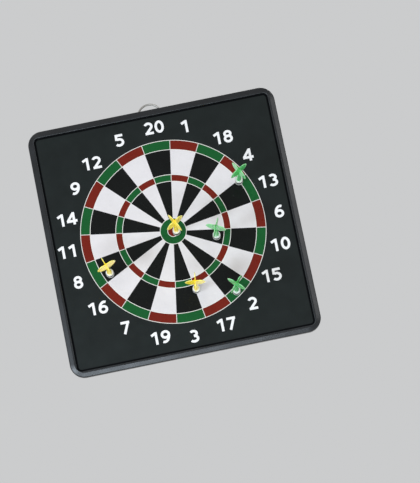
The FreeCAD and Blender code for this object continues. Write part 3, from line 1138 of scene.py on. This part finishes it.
def make_flight(dart):
    """A moulded flight: beaded fins on a hub, in place of the plain CAD flight."""
    node = "flight_" + dart
    colour = dart.split("_")[0]
    barrel_low, barrel_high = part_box("barrel_" + dart)
    axis = Vector(((barrel_low.x + barrel_high.x) / 2, 0, (barrel_low.z + barrel_high.z) / 2))
    start_y = barrel_low.y
    length = start_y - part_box(node)[0].y
    corners = [vertex.co for vertex in frame["nodes"][node].data.vertices]
    tip = max(corners, key=lambda co: math.hypot(co.x - axis.x, co.z - axis.z))
    half_span = math.hypot(tip.x - axis.x, tip.z - axis.z)
    turn = math.atan2(tip.z - axis.z, tip.x - axis.x)
    mesh = bmesh.new()
    mesh.verts.layers.float.new("pale")
    for fin in range(FINS):
        add_fin(mesh, axis, turn + 2 * math.pi * fin / FINS, start_y, length, half_span)
    hub = [(share * length * HUB_LENGTH_SHARE, radius * HUB_RADIUS) for share, radius in HUB_PROFILE]
    add_lathe(mesh, axis, start_y, hub)
    bmesh.ops.recalc_face_normals(mesh, faces=mesh.faces)
    piece = finished("flight_" + dart + "_moulded", mesh, Matrix.Identity(4), FLIGHTS[colour],
                     "dart_" + dart)
    smooth(piece, FLIGHT_SMOOTH_DEGREES)
    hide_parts(node)


def make_darts():
    for body in DARTS:
        dart = body.removeprefix("dart_")
        paint("holder_" + dart, HOLDER_PLASTIC)
        paint("barrel_" + dart, BARRELS[dart.split("_")[0]])
        for plated in ("magnet_" + dart, "collar_" + dart):
            paint(plated, NICKEL_PLATE)
            soften(plated, METAL_ROUND)
        make_flight(dart)


# -------------------------------- board

def make_board():
    for node in ("front_frame", "rear_frame"):
        paint(node, FRAME_PLASTIC)
    for node in ("front_steel", "rear_steel"):
        paint(node, STEEL)
    paint("core_panel", CORE_BOARD)
    paint("dart_print", MATERIALS["field"])
    paint("baseball_print", MATERIALS["grass"])
    paint("hanger_bail", NICKEL_WIRE)


# -------------------------------- studio

# In metres
FLOOR_DROP = 1.45
FLOOR_SIZE = 60.0

# The camera's distance in metres, its angles in degrees, and what it aims at, in millimetres
# right of and above the board's centre
CAMERA_DISTANCE = 2.3
CAMERA_YAW = 0.86
CAMERA_PITCH = 9.1
CAMERA_ROLL = -11.57
CAMERA_LENS_MM = 137.8
CAMERA_SENSOR_MM = 36.0
CAMERA_AIM_MM = (42.2, -21.6)

WORLD_STRENGTH = 0.74

# Softboxes: name, offset from the board's centre and size in metres, power in watts, colour
BLUISH = (0.78, 0.89, 1.0)
COOL = (0.96, 0.98, 1.0)
WARM = (1.0, 0.99, 0.97)
SOFTBOXES = [
    ("low_left", (-1.19, -1.65, -0.42), (0.4, 0.5), 19.0, BLUISH),
    ("low", (-0.35, -1.84, -0.93), (0.9, 0.35), 13.0, BLUISH),
    ("right", (1.14, -1.6, 0.29), (0.7, 0.9), 5.0, COOL),
    ("key", (-0.9, -1.2, 1.9), (1.2, 1.0), 4.0, WARM),
    ("back", (0.9, 2.3, 1.2), (1.8, 1.6), 34.0, WARM),
]


def make_floor():
    bpy.ops.mesh.primitive_plane_add(size=FLOOR_SIZE, location=(0, 0, -FLOOR_DROP))
    floor = bpy.context.object
    floor.name = "studio_floor"
    surface = Surface("studio_floor", specular_ior_level=0.2)
    patches = surface.noise(0.7, 3.0)
    surface.to(surface.blend(patches, tint(226, 226, 224), tint(231, 231, 230)), "Base Color")
    surface.to(surface.span(patches, 0.7, 0.8), "Roughness")
    floor.data.materials.append(surface.material)


def make_camera():
    yaw = math.radians(CAMERA_YAW)
    pitch = math.radians(CAMERA_PITCH)
    roll = math.radians(CAMERA_ROLL)
    ahead = Vector((math.sin(yaw), math.cos(yaw), 0))
    forward = math.cos(pitch) * ahead + math.sin(pitch) * Vector((0, 0, 1))
    level = Vector((math.cos(yaw), -math.sin(yaw), 0))
    upright = level.cross(forward)
    right = math.cos(roll) * level + math.sin(roll) * upright
    up = -math.sin(roll) * level + math.cos(roll) * upright
    data = bpy.data.cameras.new("camera")
    data.sensor_width = CAMERA_SENSOR_MM
    data.lens = CAMERA_LENS_MM
    camera = bpy.data.objects.new("camera", data)
    bpy.context.scene.collection.objects.link(camera)
    aim = BOARD_CENTRE + Vector((CAMERA_AIM_MM[0], 0, CAMERA_AIM_MM[1])) * MM
    turn = Matrix((right, up, -forward)).transposed()
    camera.matrix_world = Matrix.Translation(aim - forward * CAMERA_DISTANCE) @ turn.to_4x4()
    bpy.context.scene.camera = camera


def make_softbox(name, offset, size, power, colour):
    """A rectangular light at an offset from the board's centre, turned to face it."""
    data = bpy.data.lights.new(name, "AREA")
    data.shape = "RECTANGLE"
    data.size, data.size_y = size
    data.energy = power
    data.color = colour
    light = bpy.data.objects.new(name, data)
    light.location = BOARD_CENTRE + Vector(offset)
    light.rotation_mode = "QUATERNION"
    light.rotation_quaternion = (-Vector(offset)).to_track_quat("-Z", "Y")
    bpy.context.scene.collection.objects.link(light)


def make_world():
    world = bpy.data.worlds.new("studio")
    world.use_nodes = True
    background = world.node_tree.nodes["Background"]
    background.inputs["Color"].default_value = tint(232, 233, 234)
    background.inputs["Strength"].default_value = WORLD_STRENGTH
    bpy.context.scene.world = world
    bpy.context.scene.view_settings.view_transform = "Standard"


make_board()
make_dart_face()
make_baseball_face()
make_darts()
make_floor()
make_camera()
for softbox in SOFTBOXES:
    make_softbox(*softbox)
make_world()
